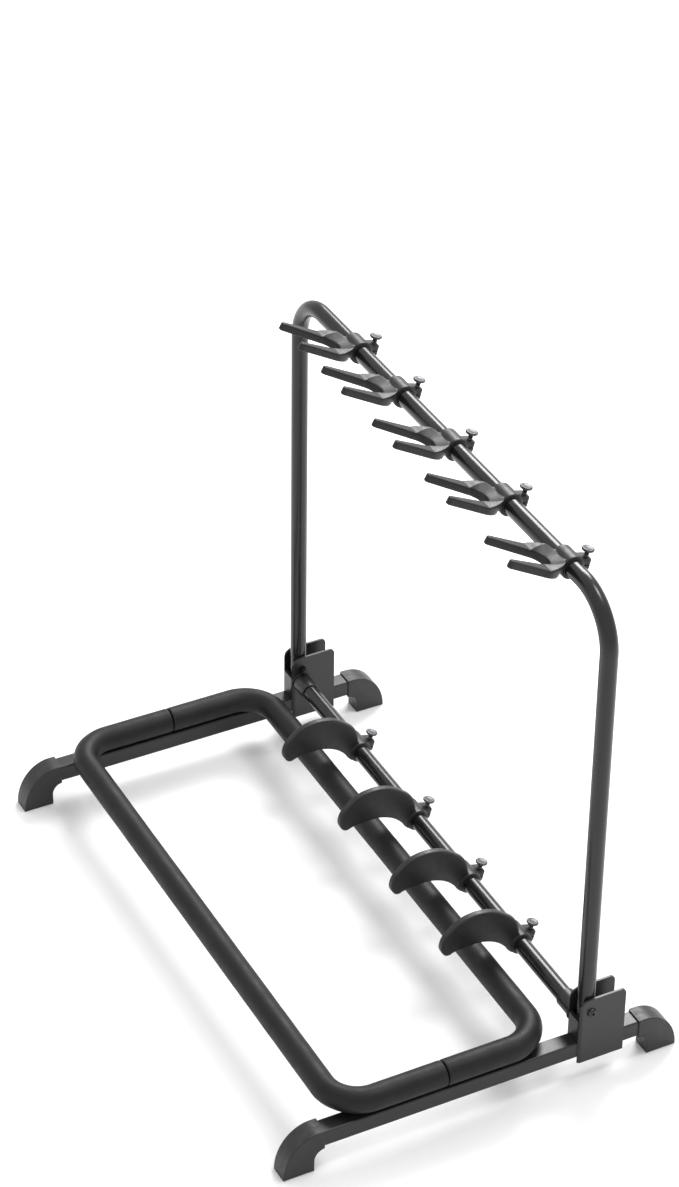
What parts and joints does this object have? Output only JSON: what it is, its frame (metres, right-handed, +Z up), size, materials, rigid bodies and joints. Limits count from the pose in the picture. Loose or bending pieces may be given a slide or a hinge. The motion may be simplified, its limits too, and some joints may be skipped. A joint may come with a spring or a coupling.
{
  "type": "guitar rack",
  "caption": "Folding multi-guitar floor rack: footed side legs, foam-covered resting loop, crossbar with arched dividers, and a hinged upright arch carrying forked neck yokes.",
  "frame": {"origin": "on the floor under the middle of the rack's overall box", "axes": "+Z up; the bars run along X; guitars face -Y (front); the arch stands towards the back (+Y)"},
  "size_m": [0.708, 0.47, 0.6407],
  "materials": {
    "painted_steel": "semi-gloss black",
    "foam": "matte black foam",
    "foot_plastic": "satin black",
    "liner_plastic": "black",
    "moulded_rubber": "matte dark grey",
    "blackened_steel": "black oxide, satin",
    "zinc_steel": "bright zinc"
  },
  "bodies": {
    "base": {"left_leg": "painted_steel", "front_left_foot": "foot_plastic", "rear_left_foot": "foot_plastic", "left_bracket": "painted_steel", "left_pivot_bolt": "blackened_steel", "left_pivot_nut": "blackened_steel", "front_left_loop_screw": "zinc_steel", "rear_left_loop_screw": "zinc_steel", "right_leg": "painted_steel", "front_right_foot": "foot_plastic", "rear_right_foot": "foot_plastic", "right_bracket": "painted_steel", "right_pivot_bolt": "blackened_steel", "right_pivot_nut": "blackened_steel", "front_right_loop_screw": "zinc_steel", "rear_right_loop_screw": "zinc_steel", "lower_crossbar": "painted_steel", "front_loop_tube": "painted_steel", "rear_loop_tube": "painted_steel", "front_foam_sleeve": "foam", "rear_foam_sleeve": "foam"},
    "arch": {"upright_arch": "painted_steel"},
    "yoke_1_slider": {"yoke_1_bush": "liner_plastic"},
    "yoke_1_holder": {"yoke_1": "moulded_rubber", "yoke_1_nut": "zinc_steel"},
    "yoke_1_screw": {"yoke_1_thumbscrew": "zinc_steel"},
    "yoke_2_slider": {"yoke_2_bush": "liner_plastic"},
    "yoke_2_holder": {"yoke_2": "moulded_rubber", "yoke_2_nut": "zinc_steel"},
    "yoke_2_screw": {"yoke_2_thumbscrew": "zinc_steel"},
    "yoke_3_slider": {"yoke_3_bush": "liner_plastic"},
    "yoke_3_holder": {"yoke_3": "moulded_rubber", "yoke_3_nut": "zinc_steel"},
    "yoke_3_screw": {"yoke_3_thumbscrew": "zinc_steel"},
    "yoke_4_slider": {"yoke_4_bush": "liner_plastic"},
    "yoke_4_holder": {"yoke_4": "moulded_rubber", "yoke_4_nut": "zinc_steel"},
    "yoke_4_screw": {"yoke_4_thumbscrew": "zinc_steel"},
    "yoke_5_slider": {"yoke_5_bush": "liner_plastic"},
    "yoke_5_holder": {"yoke_5": "moulded_rubber", "yoke_5_nut": "zinc_steel"},
    "yoke_5_screw": {"yoke_5_thumbscrew": "zinc_steel"},
    "divider_1_slider": {"divider_1_bush": "liner_plastic"},
    "divider_1_holder": {"divider_1": "moulded_rubber", "divider_1_nut": "zinc_steel"},
    "divider_1_screw": {"divider_1_thumbscrew": "zinc_steel"},
    "divider_2_slider": {"divider_2_bush": "liner_plastic"},
    "divider_2_holder": {"divider_2": "moulded_rubber", "divider_2_nut": "zinc_steel"},
    "divider_2_screw": {"divider_2_thumbscrew": "zinc_steel"},
    "divider_3_slider": {"divider_3_bush": "liner_plastic"},
    "divider_3_holder": {"divider_3": "moulded_rubber", "divider_3_nut": "zinc_steel"},
    "divider_3_screw": {"divider_3_thumbscrew": "zinc_steel"},
    "divider_4_slider": {"divider_4_bush": "liner_plastic"},
    "divider_4_holder": {"divider_4": "moulded_rubber", "divider_4_nut": "zinc_steel"},
    "divider_4_screw": {"divider_4_thumbscrew": "zinc_steel"}
  },
  "joints": [
    {"name": "arch_fold", "type": "hinge", "parent": "base", "child": "arch", "pos_m": [0, 0.1253, 0.0886], "axis": [1, 0, 0], "range_deg": [0, 90]},
    {"name": "yoke_1_slide", "type": "slide", "parent": "arch", "child": "yoke_1_slider", "axis": [1, 0, 0], "range_m": [-0.018, 0.018]},
    {"name": "yoke_1_swivel", "type": "hinge", "parent": "yoke_1_slider", "child": "yoke_1_holder", "pos_m": [-0.202, 0.1253, 0.601], "axis": [1, 0, 0], "range_deg": [-90, 10]},
    {"name": "yoke_1_thumbscrew_turn", "type": "hinge", "parent": "yoke_1_holder", "child": "yoke_1_screw", "pos_m": [-0.1995, 0.14365, 0.59608], "axis": [0, 0.2588, 0.9659], "range_deg": [0, 360]},
    {"name": "yoke_2_slide", "type": "slide", "parent": "arch", "child": "yoke_2_slider", "axis": [1, 0, 0], "range_m": [-0.018, 0.018]},
    {"name": "yoke_2_swivel", "type": "hinge", "parent": "yoke_2_slider", "child": "yoke_2_holder", "pos_m": [-0.103, 0.1253, 0.601], "axis": [1, 0, 0], "range_deg": [-90, 10]},
    {"name": "yoke_2_thumbscrew_turn", "type": "hinge", "parent": "yoke_2_holder", "child": "yoke_2_screw", "pos_m": [-0.1005, 0.14365, 0.59608], "axis": [0, 0.2588, 0.9659], "range_deg": [0, 360]},
    {"name": "yoke_3_slide", "type": "slide", "parent": "arch", "child": "yoke_3_slider", "axis": [1, 0, 0], "range_m": [-0.018, 0.018]},
    {"name": "yoke_3_swivel", "type": "hinge", "parent": "yoke_3_slider", "child": "yoke_3_holder", "pos_m": [0.012, 0.1253, 0.601], "axis": [1, 0, 0], "range_deg": [-90, 10]},
    {"name": "yoke_3_thumbscrew_turn", "type": "hinge", "parent": "yoke_3_holder", "child": "yoke_3_screw", "pos_m": [0.0145, 0.14365, 0.59608], "axis": [0, 0.2588, 0.9659], "range_deg": [0, 360]},
    {"name": "yoke_4_slide", "type": "slide", "parent": "arch", "child": "yoke_4_slider", "axis": [1, 0, 0], "range_m": [-0.018, 0.018]},
    {"name": "yoke_4_swivel", "type": "hinge", "parent": "yoke_4_slider", "child": "yoke_4_holder", "pos_m": [0.126, 0.1253, 0.601], "axis": [1, 0, 0], "range_deg": [-90, 10]},
    {"name": "yoke_4_thumbscrew_turn", "type": "hinge", "parent": "yoke_4_holder", "child": "yoke_4_screw", "pos_m": [0.1285, 0.14365, 0.59608], "axis": [0, 0.2588, 0.9659], "range_deg": [0, 360]},
    {"name": "yoke_5_slide", "type": "slide", "parent": "arch", "child": "yoke_5_slider", "axis": [1, 0, 0], "range_m": [-0.018, 0.018]},
    {"name": "yoke_5_swivel", "type": "hinge", "parent": "yoke_5_slider", "child": "yoke_5_holder", "pos_m": [0.2495, 0.1253, 0.601], "axis": [1, 0, 0], "range_deg": [-90, 10]},
    {"name": "yoke_5_thumbscrew_turn", "type": "hinge", "parent": "yoke_5_holder", "child": "yoke_5_screw", "pos_m": [0.252, 0.14365, 0.59608], "axis": [0, 0.2588, 0.9659], "range_deg": [0, 360]},
    {"name": "divider_1_slide", "type": "slide", "parent": "base", "child": "divider_1_slider", "axis": [1, 0, 0], "range_m": [-0.04, 0.04]},
    {"name": "divider_1_swivel", "type": "hinge", "parent": "divider_1_slider", "child": "divider_1_holder", "pos_m": [-0.185, 0.1233, 0.072], "axis": [1, 0, 0], "range_deg": [-60, 15]},
    {"name": "divider_1_thumbscrew_turn", "type": "hinge", "parent": "divider_1_holder", "child": "divider_1_screw", "pos_m": [-0.1875, 0.14165, 0.06708], "axis": [0, 0.2588, 0.9659], "range_deg": [0, 360]},
    {"name": "divider_2_slide", "type": "slide", "parent": "base", "child": "divider_2_slider", "axis": [1, 0, 0], "range_m": [-0.04, 0.04]},
    {"name": "divider_2_swivel", "type": "hinge", "parent": "divider_2_slider", "child": "divider_2_holder", "pos_m": [-0.045, 0.1233, 0.072], "axis": [1, 0, 0], "range_deg": [-60, 15]},
    {"name": "divider_2_thumbscrew_turn", "type": "hinge", "parent": "divider_2_holder", "child": "divider_2_screw", "pos_m": [-0.0475, 0.14165, 0.06708], "axis": [0, 0.2588, 0.9659], "range_deg": [0, 360]},
    {"name": "divider_3_slide", "type": "slide", "parent": "base", "child": "divider_3_slider", "axis": [1, 0, 0], "range_m": [-0.04, 0.04]},
    {"name": "divider_3_swivel", "type": "hinge", "parent": "divider_3_slider", "child": "divider_3_holder", "pos_m": [0.078, 0.1233, 0.072], "axis": [1, 0, 0], "range_deg": [-60, 15]},
    {"name": "divider_3_thumbscrew_turn", "type": "hinge", "parent": "divider_3_holder", "child": "divider_3_screw", "pos_m": [0.0755, 0.14165, 0.06708], "axis": [0, 0.2588, 0.9659], "range_deg": [0, 360]},
    {"name": "divider_4_slide", "type": "slide", "parent": "base", "child": "divider_4_slider", "axis": [1, 0, 0], "range_m": [-0.04, 0.04]},
    {"name": "divider_4_swivel", "type": "hinge", "parent": "divider_4_slider", "child": "divider_4_holder", "pos_m": [0.192, 0.1233, 0.072], "axis": [1, 0, 0], "range_deg": [-60, 15]},
    {"name": "divider_4_thumbscrew_turn", "type": "hinge", "parent": "divider_4_holder", "child": "divider_4_screw", "pos_m": [0.1895, 0.14165, 0.06708], "axis": [0, 0.2588, 0.9659], "range_deg": [0, 360]}
  ]
}
